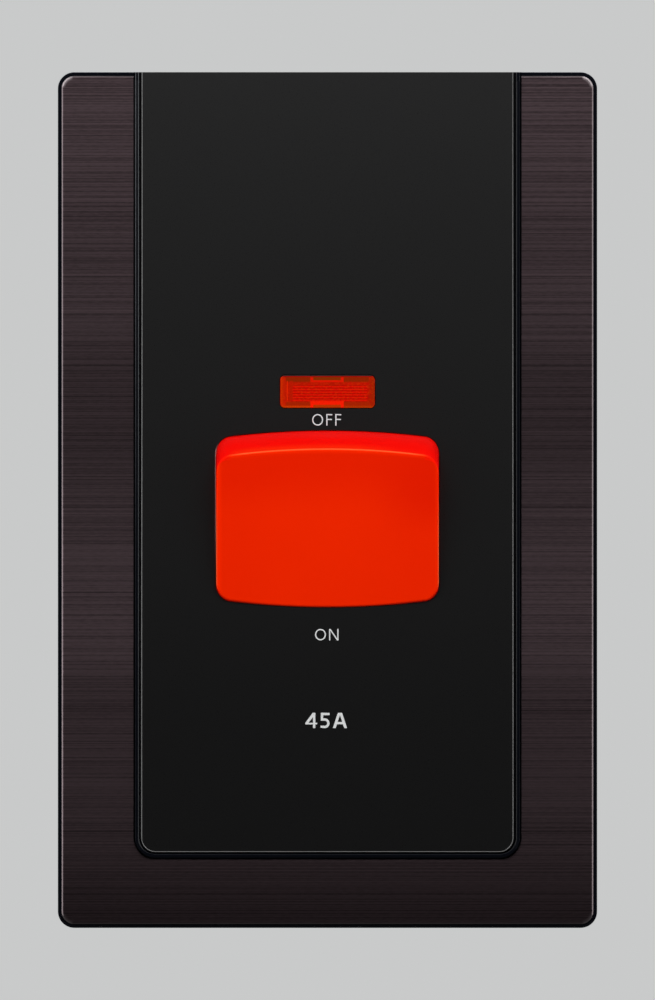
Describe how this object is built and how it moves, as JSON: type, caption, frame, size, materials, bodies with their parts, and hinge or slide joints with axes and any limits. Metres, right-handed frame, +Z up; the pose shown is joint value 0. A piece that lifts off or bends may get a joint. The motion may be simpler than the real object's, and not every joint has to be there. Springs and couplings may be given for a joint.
{
  "type": "air conditioner switch",
  "caption": "Tall wall plate with a red rocker switch and an indicator lens in a black panel framed by dark brushed metal, for isolating a fixed air conditioner.",
  "frame": {"origin": "middle of the plate on the wall face, between the two fixing holes", "axes": "+X to the right seen from the front, +Y into the wall, +Z up"},
  "size_m": [0.092, 0.0459, 0.146],
  "materials": {
    "frame_black": "moulded black plastic, fine matt texture",
    "cover_black": "moulded black plastic, semi-gloss",
    "panel_black": "satin black plastic",
    "bronze_metal": "brushed across, dark bronze anodised",
    "rocker_red": "glossy red plastic",
    "lens_red": "translucent red plastic, ribbed inside",
    "lamp_glass": "clear glass",
    "resistor_tan": "lacquered resistor body",
    "tinned_wire": "tinned copper wire",
    "housing_grey": "moulded grey plastic",
    "base_grey": "light grey thermoset",
    "screw_steel": "zinc plated steel",
    "nylon_white": "natural nylon",
    "spring_steel": "drawn spring wire",
    "copper": "stamped copper",
    "silver": "silver contact rivet",
    "brass": "machined brass"
  },
  "bodies": {
    "plate": {"mounting_frame": "frame_black", "cover_frame": "cover_black", "brushed_trim": "bronze_metal", "centre_panel": "panel_black", "neon_lens": "lens_red", "neon_lamp": "lamp_glass", "lamp_resistor": "resistor_tan", "lamp_lead_line": "tinned_wire", "lamp_lead_neutral": "tinned_wire", "switch_housing": "housing_grey", "terminal_base": "base_grey", "terminal_screws": "screw_steel", "housing_screws": "screw_steel", "frame_screws": "screw_steel", "line_feed_bar": "brass", "line_output_bar": "brass", "line_fixed_tip": "silver", "line_in_terminal": "brass", "line_out_terminal": "brass", "neutral_feed_bar": "brass", "neutral_output_bar": "brass", "neutral_fixed_tip": "silver", "neutral_in_terminal": "brass", "neutral_out_terminal": "brass"},
    "rocker": {"rocker": "rocker_red", "line_plunger": "nylon_white", "line_plunger_spring": "spring_steel", "neutral_plunger": "nylon_white", "neutral_plunger_spring": "spring_steel"},
    "line_contact": {"line_moving_contact": "copper", "line_moving_tip": "silver"},
    "neutral_contact": {"neutral_moving_contact": "copper", "neutral_moving_tip": "silver"}
  },
  "joints": [
    {"name": "rocker_pivot", "type": "hinge", "parent": "plate", "child": "rocker", "pos_m": [0, -0.0049, -0.00323], "axis": [-1, 0, 0], "range_deg": [0, 24]},
    {"name": "line_contact_pivot", "type": "hinge", "parent": "plate", "child": "line_contact", "pos_m": [-0.0115, 0.0096, -0.00323], "axis": [1, 0, 0], "range_deg": [0, 16]},
    {"name": "neutral_contact_pivot", "type": "hinge", "parent": "plate", "child": "neutral_contact", "pos_m": [0.0115, 0.0096, -0.00323], "axis": [1, 0, 0], "range_deg": [0, 16]}
  ],
  "couplings": [
    {"joint": "line_contact_pivot", "follows": "rocker_pivot", "ratio": 0.66666},
    {"joint": "neutral_contact_pivot", "follows": "rocker_pivot", "ratio": 0.66666}
  ]
}
